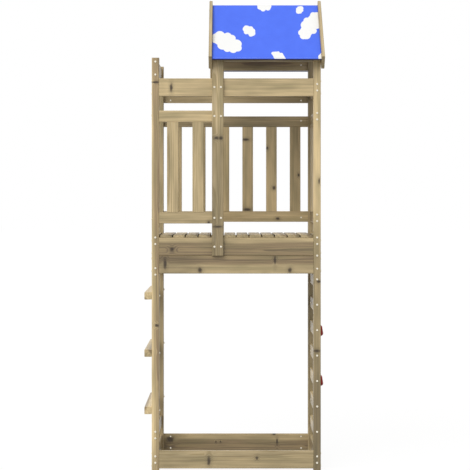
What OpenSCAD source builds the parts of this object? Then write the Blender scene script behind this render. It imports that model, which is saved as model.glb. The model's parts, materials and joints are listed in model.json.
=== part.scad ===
// Play tower of impregnated pine: four posts carry a deck with guards, a sandpit frame, ladder rungs,
// a climbing wall and a gable roof of printed cloth. Millimetres, +X right, +Y to the back, +Z up.
// The ground is at zero and the origin lies under the middle of the whole tower.

/* [Frame] */
// Width over the posts, left to right
frame_w = 1040; // [900:10:1300]
// Depth over the posts, front to back
frame_d = 600; // [500:10:800]
// Side of a square post
post_w = 45; // [40:1:60]

/* [Boards] */
// Thickness of every board except the deck's
board_t = 20; // [18:1:26]
// Width of a narrow board
rail_w = 70; // [62:1:80]
// Width of a wide board
beam_w = 110; // [98:1:130]
// Flat planed off every long edge
eased_edge = 2.5; // [1:0.5:4]

/* [Deck] */
// Height of the walking surface above the ground
deck_h = 1450; // [1300:1:1600]
// Thickness of a deck board
deck_t = 17; // [15:1:22]
// Gap between two deck boards
deck_gap = 8.4; // [5:0.1:12]
// Joint between the upper and lower fascia boards
fascia_gap = 1; // [0.5:0.5:4]
// Drop of the end rails below the walking surface
end_rail_drop = 1; // [0:1:10]
// Drop of the left brace below the fascia
brace_drop = 22; // [10:1:40]

/* [Guards] */
// Gap between the deck and the lower guard rail
guard_foot = 70; // [40:1:89]
// Height of a guard over both rails
guard_h = 695; // [600:1:800]
// Gap between two slats
slat_gap = 86.4; // [60:0.1:89]
// Length of the stub tenon on a slat
tenon_l = 15; // [10:1:20]
// Thickness of the stub tenon
tenon_t = 8; // [6:0.5:10]
// Shoulder at each side of the stub tenon
tenon_shoulder = 10; // [6:1:15]
// Gap between the guard and the top beam
beam_gap = 88; // [60:1:120]

/* [Upright] */
// Distance of the uprights from the left posts
upright_off = 326; // [280:1:360]

/* [Left side] */
// Gap between the top beam and the hand rail
hand_gap = 8; // [4:1:30]
// Length of the left posts above the hand rail
post_over = 9; // [5:1:30]
// Height of the lowest board on the left side and on the climbing wall
first_board_h = 183.5; // [160:0.5:200]
// Side of a square ladder rung
rung_w = 45; // [40:1:60]
// Rise from one rung to the next and to the deck
rung_rise = 352.5; // [320:0.5:380]

/* [Climbing wall] */
// Gap between the top climbing board and the kick board
climb_top_gap = 36; // [20:1:80]
// Height of a climbing hold
hold_h = 67; // [60:1:80]
// Width of a climbing hold
hold_w = 86; // [70:1:110]
// Reach of a hold from its board
hold_reach = 37.5; // [35:0.5:46]
// Distance of a hold from the middle of its board
hold_off = 128; // [90:1:150]
// Thickness of a hold's foot against the board
hold_foot = 4.5; // [3:0.5:6]
// Radius of the lip that the fingers close on
lip_r = 15.5; // [13:0.5:17]
// Rise of the lip's ends above its middle
lip_curl = 4; // [0:0.5:8]
// Radius of the brow above the finger hollow
brow_r = 9.5; // [7:0.5:12]
// Reach of the brow's middle from the board
brow_reach = 22.5; // [18:0.5:26]
// Distance of the brow's ends from the middle
brow_off = 20.5; // [14:0.5:26]
// Radius of the finger hollow
hollow_r = 22; // [18:0.5:26]
// Distance of the hollow's middle in front of the hold
hollow_out = 8; // [4:0.5:12]
// Rise of the hollow's middle above the hold's
hollow_rise = 12; // [8:0.5:16]
// Depth of the bolt's seat in a hold
seat_depth = 13; // [10:0.5:16]

/* [Sandpit] */
// Gap between the sandpit boards and the ground
sandpit_foot = 13; // [5:1:30]

/* [Roof] */
// Slope of the roof
roof_pitch = 45; // [40:1:50]
// Width of a rafter
rafter_w = 96; // [85:1:110]
// Height of the rafters above the cloth
rafter_rise = 19; // [15:1:30]
// Reach of the rafters in front of the posts
eave_overhang = 96; // [90:1:130]
// Gap between the top beam and the roof rail
roof_gap = 105; // [80:1:130]
// Width of the wedge-shaped batten inside the hem
batten_w = 45; // [35:1:55]
// Thickness of that batten at its thin outer edge
batten_edge = 5; // [4:0.5:10]
// Thickness of the roof cloth with its lining
cloth_t = 2.5; // [2:0.5:4]
// Sag of the cloth between ridge and eave
cloth_sag = 6; // [2:0.5:10]
// Width of the hem turned under the batten
hem_w = 28; // [15:1:34]

/* [Fasteners] */
// Diameter of a bolt
bolt_d = 6; // [5:0.5:7]
// Diameter of a bolt head
bolt_head_d = 13; // [11:0.5:15]
// Thickness of a bolt head
bolt_head_t = 3.5; // [2.5:0.5:5]
// Width of the slope round a bolt head
bolt_head_slope = 1.5; // [1:0.5:2]
// Key size of the socket in a bolt head
socket_w = 4; // [3:0.5:5]
// Depth of the socket in a bolt head
socket_depth = 2.5; // [1.5:0.5:3]
// Reach of a bolt past its barrel nut
bolt_past = 2; // [1:0.5:3]
// Diameter of a barrel nut
barrel_d = 10; // [9:0.5:12]
// Distance of a barrel nut from the end of its board
barrel_off = 45; // [35:1:55]
// Wood left behind a barrel nut
barrel_floor = 4; // [3:0.5:5]
// Distance of cross board bolts from the board's edges
cross_margin = 15; // [13:1:18]
// Distance of long board bolts from the board's edges
long_margin = 17; // [16:1:20]
// Rise of the single bolt above the middle of an upper guard rail
single_rise = 6; // [4:1:8]
// Length of the nut on a through bolt
nut_l = 6; // [4:0.5:8]
// Key size of the nut on a through bolt
nut_w = 10; // [9:0.5:12]
// Diameter of a roof screw
screw_d = 4.5; // [4:0.5:5]
// Diameter of a roof screw's head
screw_head_d = 9; // [8:0.5:10]
// Thickness of a roof screw's head
screw_head_t = 2.5; // [2:0.5:3]
// Length of a roof screw under its head
screw_l = 65; // [55:1:75]
// Drop of the left roof screws below the middle of the roof rail
roof_screw_drop = 18; // [15:1:22]
// Distance of a right roof screw from the middle of its post
post_screw_off = 11; // [9:0.5:14]
// Drop of a right roof screw below the top of its post
post_screw_drop = 17.5; // [14:0.5:20]
// Distance of a ridge screw from the ridge
ridge_screw_off = 11; // [8:0.5:13]
// Rise of a ridge screw above the foot of the ridge batten
ridge_screw_rise = 15; // [12:0.5:17]
// Distance of an eave screw from the batten's thick edge
eave_screw_in = 14; // [10:0.5:20]

/* [Fits] */
// Play of a bolt, nut or screw in its hole, all round
hole_play = 0.3; // [0.2:0.1:0.5]
// Play of a tenon in its mortise, all round
tenon_play = 0.25; // [0.1:0.05:0.5]
// Play between the cloth and the wood beside it
cloth_play = 0.3; // [0.2:0.1:1]
// Room between the sagging cloth and the edges of the right posts
cloth_room = 5; // [0.5:0.5:8]

/* [Hidden] */
$fn = 48;

// Side signs used all through
LEFT = -1;
RIGHT = 1;
FRONT = -1;
REAR = 1;
LIT_PINE = "#bfae82";
SHADED_PINE = "#a08f68";
CLOTH_BLUE = "#587aff";
HOLD_RED = "#9c2f2a";
ZINC = "#d8d2c4";

// Plan of the frame
half_w = frame_w / 2;
half_d = frame_d / 2;
bay_w = frame_w - 2 * post_w;
bay_d = frame_d - 2 * post_w;
post_mid_x = half_w - post_w / 2;
post_mid_y = half_d - post_w / 2;
long_mid_y = half_d - board_t / 2;
upright_x0 = -bay_w / 2 + upright_off;
upright_x1 = upright_x0 + rail_w;
upright_mid_y = half_d + board_t / 2;

// Heights of the boards, from the ground up
sandpit_z = sandpit_foot;
fascia_upper_z = deck_h - deck_t - beam_w;
fascia_lower_z = fascia_upper_z - fascia_gap - beam_w;
end_rail_z = deck_h - end_rail_drop - rail_w;
brace_z = fascia_lower_z - brace_drop;
kick_z = fascia_upper_z - fascia_gap / 2 + cross_margin - beam_w;
guard_low_z = deck_h + guard_foot;
guard_top_z = guard_low_z + guard_h - rail_w;
beam_z = guard_top_z + rail_w + beam_gap;
top_rail_z = beam_z + (beam_w - rail_w) / 2;
hand_z = beam_z + beam_w + hand_gap;
left_post_h = hand_z + beam_w + post_over;
roof_rail_z = beam_z + beam_w + roof_gap;
right_post_h = roof_rail_z + rail_w;
CLIMB_COUNT = 7;
climb_pitch = (kick_z - climb_top_gap - rail_w - first_board_h) / (CLIMB_COUNT - 1);
function climb_z(i) = first_board_h + (i - 1) * climb_pitch;
RUNG_COUNT = 3;
function rung_z(i) = deck_h - (RUNG_COUNT + 1 - i) * rung_rise - rung_w;

// Roof, in slope places: along the slope from the ridge and square to it, downwards
cloth_ridge_z = right_post_h + half_d * tan(roof_pitch)
    + (cloth_t + cloth_sag + cloth_room) / cos(roof_pitch);
slope_l = (half_d + eave_overhang - rafter_rise * sin(roof_pitch)) / cos(roof_pitch);
upright_top_z = right_post_h - board_t * tan(roof_pitch);
roof_x0 = upright_x0;
roof_x1 = half_w;
batten_s1 = slope_l - cloth_t - cloth_play;
batten_n0 = cloth_t + cloth_play;
batten_taper = (board_t - batten_edge) / batten_w;
function batten_t(along) = batten_edge + (batten_s1 - along) * batten_taper;
function slope_place(side, along, down) = [
    side * (along * cos(roof_pitch) - down * sin(roof_pitch)),
    cloth_ridge_z - along * sin(roof_pitch) - down * cos(roof_pitch)];

// The whole tower is set over the origin by half the difference of what sticks out left and right
board_out_x = post_mid_x + board_t / 2;
right_reach = max(board_out_x + hold_reach, half_w + board_t + bolt_head_t);
shift_x = (half_w + rung_w - right_reach) / 2;

// Bolt heights
function pair(z, w, margin) = [z + margin, z + w - margin];
sandpit_cross_z = pair(sandpit_z + (beam_w - rail_w) / 2, rail_w, cross_margin);
function climb_bolt_z(i) = climb_z(i) + rail_w - cross_margin;
left_cross_z = concat(sandpit_cross_z, pair(first_board_h, rail_w, cross_margin),
    pair(brace_z, rail_w, cross_margin), pair(end_rail_z, rail_w, cross_margin),
    pair(hand_z, beam_w, cross_margin));
right_cross_z = concat(sandpit_cross_z, [for (i = [1:CLIMB_COUNT]) climb_bolt_z(i)],
    pair(kick_z, beam_w, cross_margin), pair(end_rail_z, rail_w, cross_margin),
    pair(guard_low_z, rail_w, cross_margin), pair(guard_top_z, rail_w, cross_margin),
    pair(top_rail_z, rail_w, cross_margin));
guard_bolt_z = [guard_low_z + rail_w / 2 - single_rise, guard_top_z + rail_w / 2 + single_rise];
roof_bolt_z = roof_rail_z + rail_w / 2;
long_z = concat(pair(sandpit_z, beam_w, long_margin), pair(fascia_lower_z, beam_w, long_margin),
    pair(fascia_upper_z, beam_w, long_margin), pair(beam_z, beam_w, long_margin));
// A guard meets every post except the one beside the open way out at the front right
function has_guard(sx, sy) = sx == LEFT || sy == REAR;
function post_long_z(sx, sy) = concat(long_z, has_guard(sx, sy) ? guard_bolt_z : []);
function cross_z(sx) = sx == LEFT ? left_cross_z : right_cross_z;
rung_bolt_z = [for (i = [1:RUNG_COUNT]) rung_z(i) + rung_w / 2];
upright_bolt_x = pair(upright_x0, rail_w, cross_margin);
upright_bolt_z = [fascia_upper_z + beam_w / 2, guard_low_z + rail_w / 2, guard_top_z + rail_w / 2,
    beam_z + beam_w / 2, roof_bolt_z];
hole_d = bolt_d + 2 * hole_play;
barrel_hole_d = barrel_d + 2 * hole_play;
screw_hole_d = screw_d + 2 * hole_play;
barrel_l = board_t - barrel_floor - 2 * hole_play;
bolt_end = barrel_d / 2 + bolt_past;
cross_bolt_l = post_w + barrel_off + bolt_end;
PAST = 1;

// Slats keep one gap and stand centred in their bay
function slat_places(span) = let (count = floor((span + slat_gap) / (rail_w + slat_gap)),
    pitch = rail_w + slat_gap) [for (i = [0:count - 1]) (i - (count - 1) / 2) * pitch];
rear_slat_x = slat_places(bay_w);
front_slat_x = [for (x = rear_slat_x) if (x + rail_w / 2 < upright_x0) x];
right_slat_y = slat_places(bay_d);
slat_z0 = guard_low_z + rail_w;
slat_z1 = guard_top_z;

// Which board each climbing hold sits on, and towards which side
HOLD_BOARDS = [2, 3, 4, 5, 6];
function hold_side(i) = HOLD_BOARDS[i - 1] % 2 == 1 ? FRONT : REAR;
function hold_place(i) = [board_out_x, hold_side(i) * hold_off, climb_z(HOLD_BOARDS[i - 1]) + rail_w / 2];

// Basic shapes

// A planed section with its four edges eased, standing in the first quadrant
module planed_section(a, b) {
    e = eased_edge;
    polygon([[e, 0], [a - e, 0], [a, e], [a, b - e], [a - e, b], [e, b], [0, b - e], [0, e]]);
}

// Boards along each axis, from their lowest corner
module board_z(corner, a, b, l) {
    translate(corner) linear_extrude(l) planed_section(a, b);
}

module board_x(corner, l, b, w) {
    translate(corner) rotate([90, 0, 90]) linear_extrude(l) planed_section(b, w);
}

module board_y(corner, a, l, w) {
    translate(corner + [0, l, 0]) rotate([90, 0, 0]) linear_extrude(l) planed_section(a, w);
}

// Hands its children to a face: their +Z then points into the wood
module into_y(side, place) {
    translate(place) rotate([90 * side, 0, 0]) children();
}

module into_x(side, place) {
    translate(place) rotate([0, -90 * side, 0]) children();
}

// A hole from just outside a face
module hole(d, l) {
    translate([0, 0, -PAST]) cylinder(d = d, h = l + PAST);
}

// A round-headed bolt with a key socket: the head lies outside the face at zero
module bolt(l) {
    difference() {
        rotate_extrude() polygon([[0, -bolt_head_t], [bolt_head_d / 2 - bolt_head_slope, -bolt_head_t],
            [bolt_head_d / 2, -bolt_head_t / 2], [bolt_head_d / 2, 0], [bolt_d / 2, 0], [bolt_d / 2, l], [0, l]]);
        translate([0, 0, -bolt_head_t - PAST]) cylinder(d = socket_w / cos(30), h = socket_depth + PAST, $fn = 6);
    }
}

// A wood screw with a low sloped head and a pointed end
module screw(l) {
    rotate_extrude() polygon([[0, -screw_head_t], [screw_head_d / 4, -screw_head_t], [screw_head_d / 2, 0],
        [screw_d / 2, 0], [screw_d / 2, l - screw_d], [0, l]]);
}

// A barrel nut lying in its pocket, with the cross hole that takes the bolt
module barrel_nut() {
    difference() {
        translate([0, 0, hole_play]) cylinder(d = barrel_d, h = barrel_l);
        translate([-barrel_d, 0, board_t / 2 - barrel_floor])
            rotate([0, 90, 0]) cylinder(d = hole_d, h = 2 * barrel_d);
    }
}

// A plain nut on the inner side of a through bolt
module through_nut() {
    difference() {
        cylinder(d = nut_w / cos(30), h = nut_l, $fn = 6);
        translate([0, 0, -PAST]) cylinder(d = hole_d, h = nut_l + 2 * PAST);
    }
}

// Places where fasteners go

// Cross boards: the barrel nut's pocket opens on the inner face
module at_cross_barrels(sx, zs) {
    for (sy = [FRONT, REAR], z = zs)
        translate([sx * (board_out_x - barrel_floor), sy * (bay_d / 2 - barrel_off), z])
            rotate([0, -90 * sx, 0]) rotate([0, 0, 90]) children();
}

// Long boards: one row of bolts at each end in the list of sides
module at_long_barrels(sy, sides, zs) {
    for (sx = sides, z = zs)
        translate([sx * (bay_w / 2 - barrel_off), sy * (half_d - barrel_floor), z])
            rotate([90 * sy, 0, 0]) children();
}

// Bolts through an upright, at the heights given
module at_upright_bolts(sy, zs) {
    for (x = upright_bolt_x, z = zs) into_y(sy, [x, sy * (half_d + board_t), z]) children();
}

module at_upright_nuts(sy, zs) {
    for (x = upright_bolt_x, z = zs) into_y(sy, [x, sy * (half_d - board_t), z]) children();
}

// Screws of the right rafters into the posts, and the places of the roof bolts on the rafters
rafter_screw_y = post_mid_y - post_screw_off;
rafter_screw_z = right_post_h - post_screw_drop;
left_screw_z = roof_bolt_z - roof_screw_drop;
ridge_batten_z0 = cloth_ridge_z - (cloth_t + cloth_play) / cos(roof_pitch) - post_w;
ridge_screw_z = ridge_batten_z0 + ridge_screw_rise;
eave_screw_s = batten_s1 - batten_w + eave_screw_in;
eave_screw_n = batten_n0 + batten_t(eave_screw_s) / 2;

module at_left_rafter_screws(sy) {
    into_x(LEFT, [roof_x0 - board_t, sy * long_mid_y, left_screw_z]) children();
    into_x(LEFT, [roof_x0 - board_t, sy * upright_mid_y, left_screw_z]) children();
}

module at_right_rafter_screws(sy) {
    into_x(RIGHT, [roof_x1 + board_t, sy * rafter_screw_y, rafter_screw_z]) children();
}

module at_batten_screws(sx, sy) {
    x = sx == LEFT ? roof_x0 - board_t : roof_x1 + board_t;
    eave = slope_place(sy, eave_screw_s, eave_screw_n);
    into_x(sx, [x, sy * ridge_screw_off, ridge_screw_z]) children();
    into_x(sx, [x, eave[0], eave[1]]) children();
}

module at_roof_bolts(sy) {
    into_x(RIGHT, [roof_x1 + board_t, sy * long_mid_y, roof_bolt_z]) children();
}

// Posts and uprights

module post(sx, sy) {
    h = sx == LEFT ? left_post_h : right_post_h;
    color(sx == LEFT ? SHADED_PINE : LIT_PINE) difference() {
        board_z([sx * post_mid_x - post_w / 2, sy * post_mid_y - post_w / 2, 0], post_w, post_w, h);
        for (z = cross_z(sx)) into_y(sy, [sx * post_mid_x, sy * half_d, z]) hole(hole_d, post_w + PAST);
        for (z = post_long_z(sx, sy)) into_x(sx, [sx * half_w, sy * long_mid_y, z]) hole(hole_d, post_w + PAST);
        if (sx == LEFT)
            for (z = rung_bolt_z) into_x(sx, [sx * half_w, sy * post_mid_y, z]) hole(hole_d, post_w + PAST);
        if (sx == RIGHT) {
            at_roof_bolts(sy) hole(hole_d, board_t + post_w + PAST);
            at_right_rafter_screws(sy) hole(screw_hole_d, board_t + post_w + PAST);
        }
    }
}

module upright(sy) {
    y = sy == FRONT ? -half_d - board_t : half_d;
    color(SHADED_PINE) difference() {
        board_z([upright_x0, y, fascia_upper_z], rail_w, board_t, upright_top_z - fascia_upper_z);
        at_upright_bolts(sy, upright_bolt_z) hole(hole_d, board_t + PAST);
        at_left_rafter_screws(sy) hole(screw_hole_d, screw_l + PAST);
    }
}

// Boards that run left to right between the posts, flush with their outer faces

// Bolt holes come in from the ends given, and the upright's bolts cross at the heights given
module long_board(sy, x0, x1, z, w, sides, end_z, upright_z) {
    y = sy == FRONT ? -half_d : half_d - board_t;
    color(sy == FRONT ? LIT_PINE : SHADED_PINE) difference() {
        board_x([x0, y, z], x1 - x0, board_t, w);
        for (sx = sides, bz = end_z)
            into_x(sx, [sx * bay_w / 2, sy * long_mid_y, bz]) hole(hole_d, barrel_off + bolt_end + PAST);
        at_long_barrels(sy, sides, end_z) cylinder(d = barrel_hole_d, h = board_t);
        at_upright_bolts(sy, upright_z) hole(hole_d, 2 * board_t + PAST);
        children();
    }
}

module sandpit_long(sy) {
    long_board(sy, -bay_w / 2, bay_w / 2, sandpit_z, beam_w, [LEFT, RIGHT],
        pair(sandpit_z, beam_w, long_margin), []);
}

module fascia_lower(sy) {
    long_board(sy, -bay_w / 2, bay_w / 2, fascia_lower_z, beam_w, [LEFT, RIGHT],
        pair(fascia_lower_z, beam_w, long_margin), []);
}

module fascia_upper(sy) {
    long_board(sy, -bay_w / 2, bay_w / 2, fascia_upper_z, beam_w, [LEFT, RIGHT],
        pair(fascia_upper_z, beam_w, long_margin), [upright_bolt_z[0]]);
}

module top_beam(sy) {
    long_board(sy, -bay_w / 2, bay_w / 2, beam_z, beam_w, [LEFT, RIGHT],
        pair(beam_z, beam_w, long_margin), [upright_bolt_z[3]]);
}

// The roof rail runs from the left rafter to the right post
module roof_rail(sy) {
    long_board(sy, roof_x0, bay_w / 2, roof_rail_z, rail_w, [RIGHT], [roof_bolt_z], [upright_bolt_z[4]])
        at_left_rafter_screws(sy) hole(screw_hole_d, screw_l + PAST);
}

// Guards: two rails with slats tenoned between them

module tenon(play) {
    a = rail_w - 2 * tenon_shoulder + 2 * play;
    b = tenon_t + 2 * play;
    translate([-a / 2, -b / 2, slat_z0 - tenon_l - play]) cube([a, b, slat_z1 - slat_z0 + 2 * tenon_l + 2 * play]);
}

module slat() {
    board_z([-rail_w / 2, -board_t / 2, slat_z0], rail_w, board_t, slat_z1 - slat_z0);
    tenon(0);
}

module at_long_slats(sy, xs) {
    for (x = xs) translate([x, sy * long_mid_y, 0]) children();
}

module at_right_slats() {
    for (y = right_slat_y) translate([post_mid_x, y, 0]) rotate(90) children();
}

module guard_rail_long(sy, z, bolt_z, upright_z) {
    xs = sy == FRONT ? front_slat_x : rear_slat_x;
    x1 = sy == FRONT ? upright_x1 : bay_w / 2;
    sides = sy == FRONT ? [LEFT] : [LEFT, RIGHT];
    long_board(sy, -bay_w / 2, x1, z, rail_w, sides, [bolt_z], [upright_z]) at_long_slats(sy, xs) tenon(tenon_play);
}

module guard_low_rail_long(sy) {
    guard_rail_long(sy, guard_low_z, guard_bolt_z[0], upright_bolt_z[1]);
}

module guard_top_rail_long(sy) {
    guard_rail_long(sy, guard_top_z, guard_bolt_z[1], upright_bolt_z[2]);
}

module guard_slats_long(sy) {
    xs = sy == FRONT ? front_slat_x : rear_slat_x;
    color(sy == FRONT ? LIT_PINE : SHADED_PINE) at_long_slats(sy, xs) slat();
}

module guard_slats_right() {
    color(SHADED_PINE) at_right_slats() slat();
}

// Boards that run front to back, in the middle of the posts' width

module cross_board(sx, z, w, bolt_z) {
    color(sx == LEFT ? SHADED_PINE : LIT_PINE) difference() {
        board_y([sx * post_mid_x - board_t / 2, -bay_d / 2, z], board_t, bay_d, w);
        for (sy = [FRONT, REAR], bz = bolt_z)
            into_y(sy, [sx * post_mid_x, sy * bay_d / 2, bz]) hole(hole_d, barrel_off + bolt_end + PAST);
        at_cross_barrels(sx, bolt_z) cylinder(d = barrel_hole_d, h = board_t);
        children();
    }
}

module sandpit_cross(sx) {
    cross_board(sx, sandpit_z, beam_w, sandpit_cross_z);
}

module end_rail(sx) {
    cross_board(sx, end_rail_z, rail_w, pair(end_rail_z, rail_w, cross_margin));
}

module hand_rail_left() {
    cross_board(LEFT, hand_z, beam_w, pair(hand_z, beam_w, cross_margin));
}

module brace_left() {
    cross_board(LEFT, brace_z, rail_w, pair(brace_z, rail_w, cross_margin));
}

module foot_board_left() {
    cross_board(LEFT, first_board_h, rail_w, pair(first_board_h, rail_w, cross_margin));
}

module top_rail_right() {
    cross_board(RIGHT, top_rail_z, rail_w, pair(top_rail_z, rail_w, cross_margin));
}

module kick_board_right() {
    cross_board(RIGHT, kick_z, beam_w, pair(kick_z, beam_w, cross_margin));
}

module guard_rail_right(z) {
    cross_board(RIGHT, z, rail_w, pair(z, rail_w, cross_margin)) at_right_slats() tenon(tenon_play);
}

module climbing_board(i) {
    holds = [for (h = [1:len(HOLD_BOARDS)]) if (HOLD_BOARDS[h - 1] == i) h];
    cross_board(RIGHT, climb_z(i), rail_w, [climb_bolt_z(i)])
        for (h = holds) translate(hold_place(h)) rotate([0, -90, 0]) hole(hole_d, board_t + PAST);
}

// Moulded hold: a foot against the board, a full lip below and a finger hollow above the lip
HOLD_SIDES = 28;
hold_bolt_x = hold_reach - seat_depth;
lip_off = hold_w / 2 - lip_r;
lip_z = lip_r - hold_h / 2;

module hold_body() {
    $fn = HOLD_SIDES;
    hull() {
        rotate([0, 90, 0]) cylinder(d = hold_h, h = hold_foot);
        for (y = [-1, 0, 1]) translate([hold_reach - lip_r, y * lip_off, lip_z + abs(y) * lip_curl]) sphere(lip_r);
        for (y = [-1, 1]) {
            translate([brow_reach, y * brow_off, hold_h / 2 - brow_r]) sphere(brow_r);
            translate([0, y * lip_off, lip_z]) rotate([0, 90, 0]) cylinder(r = lip_r, h = hold_foot);
        }
    }
}

module climbing_hold(i) {
    color(HOLD_RED) translate(hold_place(i)) difference() {
        hold_body();
        translate([hold_reach + hollow_out, 0, hollow_rise]) sphere(hollow_r, $fn = HOLD_SIDES);
        translate([hold_bolt_x, 0, 0]) rotate([0, 90, 0]) cylinder(d = bolt_head_d + 2 * hole_play, h = hold_reach);
        rotate([0, 90, 0]) hole(hole_d, hold_reach);
    }
}

// Ladder rung across the outer faces of the left posts, with sunk bolt heads
module rung(i) {
    z = rung_z(i);
    color(LIT_PINE) difference() {
        board_y([-half_w - rung_w, -half_d, z], rung_w, frame_d, rung_w);
        for (sy = [FRONT, REAR])
            into_x(LEFT, [-half_w - rung_w, sy * post_mid_y, z + rung_w / 2]) {
                hole(hole_d, rung_w + PAST);
                hole(bolt_head_d + 2 * hole_play, bolt_head_t + hole_play);
            }
    }
}

// Deck boards lie on the fascia boards from front to back
module deck_boards() {
    count = floor((bay_w + deck_gap) / (rail_w + deck_gap));
    color(LIT_PINE) for (i = [0:count - 1])
        board_y([(i - count / 2) * (rail_w + deck_gap) + deck_gap / 2, -half_d, deck_h - deck_t],
            rail_w, frame_d, deck_t);
}

// Roof

// A planed board laid on the rear slope, long enough to be cut plumb over the ridge
module sloping_board() {
    rotate([-roof_pitch, 0, 0])
        board_y([-board_t / 2, -rafter_w, rafter_rise - rafter_w], board_t, rafter_w + slope_l, rafter_w);
}

// Rafters meet at a plumb joint over the ridge and end in a square cut
module rafter(sx, sy) {
    mid_x = sx == LEFT ? roof_x0 - board_t / 2 : roof_x1 + board_t / 2;
    color(LIT_PINE) difference() {
        translate([mid_x, 0, cloth_ridge_z]) rotate([0, 0, sy == FRONT ? 180 : 0]) intersection() {
            sloping_board();
            translate([-board_t, 0, -slope_l - rafter_w])
                cube([2 * board_t, slope_l + rafter_w, slope_l + 2 * rafter_w]);
        }
        at_batten_screws(sx, sy) hole(screw_hole_d, board_t + PAST);
        if (sx == LEFT) {
            at_left_rafter_screws(sy) hole(screw_hole_d, board_t + PAST);
        }
        if (sx == RIGHT) {
            at_roof_bolts(sy) hole(hole_d, board_t + PAST);
            at_right_rafter_screws(sy) hole(screw_hole_d, board_t + PAST);
        }
    }
}

// The ridge batten's top is planed to both slopes
module ridge_batten() {
    top = ridge_batten_z0 + post_w;
    fall = post_w / 2 * tan(roof_pitch);
    color(SHADED_PINE) difference() {
        translate([roof_x0, 0, 0]) rotate([90, 0, 90]) linear_extrude(roof_x1 - roof_x0)
            polygon([[-post_w / 2, ridge_batten_z0], [post_w / 2, ridge_batten_z0], [post_w / 2, top - fall],
                [0, top], [-post_w / 2, top - fall]]);
        for (sx = [LEFT, RIGHT], sy = [FRONT, REAR]) at_batten_screws(sx, sy) hole(screw_hole_d, screw_l + PAST);
    }
}

// Battens inside the hems, lying with the slope and planed to a wedge so that the eave stays thin
module eave_battens() {
    s0 = batten_s1 - batten_w;
    color(SHADED_PINE) for (sy = [FRONT, REAR]) difference() {
        translate([roof_x0, 0, 0]) rotate([90, 0, 90]) linear_extrude(roof_x1 - roof_x0)
            polygon([slope_place(sy, s0, batten_n0), slope_place(sy, batten_s1, batten_n0),
                slope_place(sy, batten_s1, batten_n0 + batten_edge), slope_place(sy, s0, batten_n0 + board_t)]);
        for (sx = [LEFT, RIGHT]) at_batten_screws(sx, sy) hole(screw_hole_d, screw_l + PAST);
    }
}

// The cloth hangs a little between ridge and batten, and its hems turn under the battens
CLOTH_STEPS = 10;
sag_start = post_w / 2 / cos(roof_pitch);
sag_end = batten_s1 - batten_w;
function hem_n(along) = batten_n0 + batten_t(along) + cloth_play;
function sag_at(u) = 4 * cloth_sag * u * (1 - u);
function cloth_slope(side, n) = [for (i = [0:CLOTH_STEPS]) let (u = i / CLOTH_STEPS)
    slope_place(side, sag_start + (sag_end - sag_start) * u, n + sag_at(u))];
function cloth_hem(side) = let (fold = slope_l - cloth_t, end = slope_l - hem_w) [
    slope_place(side, slope_l, 0), slope_place(side, slope_l, hem_n(slope_l) + cloth_t),
    slope_place(side, end, hem_n(end) + cloth_t), slope_place(side, end, hem_n(end)),
    slope_place(side, fold, hem_n(fold)), slope_place(side, fold, cloth_t)];
function backwards(list) = [for (i = [len(list) - 1:-1:0]) list[i]];
function cloth_half(side) = concat(cloth_slope(side, 0), cloth_hem(side), backwards(cloth_slope(side, cloth_t)));

module roof_cloth() {
    color(CLOTH_BLUE) translate([roof_x0 + cloth_play, 0, 0]) rotate([90, 0, 90])
        linear_extrude(roof_x1 - roof_x0 - 2 * cloth_play)
            polygon(concat([[0, cloth_ridge_z]], cloth_half(REAR), [[0, cloth_ridge_z - cloth_t / cos(roof_pitch)]],
                backwards(cloth_half(FRONT))));
}

// Fasteners

module cross_bolts() {
    for (sx = [LEFT, RIGHT], sy = [FRONT, REAR], z = cross_z(sx))
        into_y(sy, [sx * post_mid_x, sy * half_d, z]) bolt(cross_bolt_l);
}

module long_bolts() {
    for (sx = [LEFT, RIGHT], sy = [FRONT, REAR], z = post_long_z(sx, sy))
        into_x(sx, [sx * half_w, sy * long_mid_y, z]) bolt(cross_bolt_l);
}

module bolts() {
    color(ZINC) {
        cross_bolts();
        long_bolts();
        for (sy = [FRONT, REAR]) {
            at_roof_bolts(sy) bolt(board_t + cross_bolt_l);
            at_upright_bolts(sy, upright_bolt_z) bolt(2 * board_t + nut_l);
            for (z = rung_bolt_z)
                into_x(LEFT, [-half_w - rung_w + bolt_head_t + hole_play, sy * post_mid_y, z])
                    bolt(rung_w - bolt_head_t - hole_play + post_w + nut_l);
        }
        for (i = [1:len(HOLD_BOARDS)])
            translate(hold_place(i) + [hold_bolt_x, 0, 0]) rotate([0, -90, 0]) bolt(hold_bolt_x + board_t + nut_l);
    }
}

module nuts() {
    color(ZINC) {
        at_cross_barrels(LEFT, left_cross_z) barrel_nut();
        at_cross_barrels(RIGHT, right_cross_z) barrel_nut();
        for (sy = [FRONT, REAR]) {
            at_long_barrels(sy, [LEFT, RIGHT], long_z) barrel_nut();
            at_long_barrels(sy, sy == FRONT ? [LEFT] : [LEFT, RIGHT], guard_bolt_z) barrel_nut();
            at_long_barrels(sy, [RIGHT], [roof_bolt_z]) barrel_nut();
            at_upright_nuts(sy, upright_bolt_z) through_nut();
            for (z = rung_bolt_z) into_x(LEFT, [-bay_w / 2, sy * post_mid_y, z]) through_nut();
        }
        for (i = [1:len(HOLD_BOARDS)])
            translate(hold_place(i) - [board_t, 0, 0]) rotate([0, -90, 0]) through_nut();
    }
}

module roof_screws() {
    color(ZINC) for (sy = [FRONT, REAR]) {
        at_left_rafter_screws(sy) screw(screw_l);
        at_right_rafter_screws(sy) screw(board_t + post_w - screw_d);
        for (sx = [LEFT, RIGHT]) at_batten_screws(sx, sy) screw(screw_l);
    }
}

// Sets the tower over the origin
module placed() {
    translate([shift_x, 0, 0]) children();
}

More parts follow.
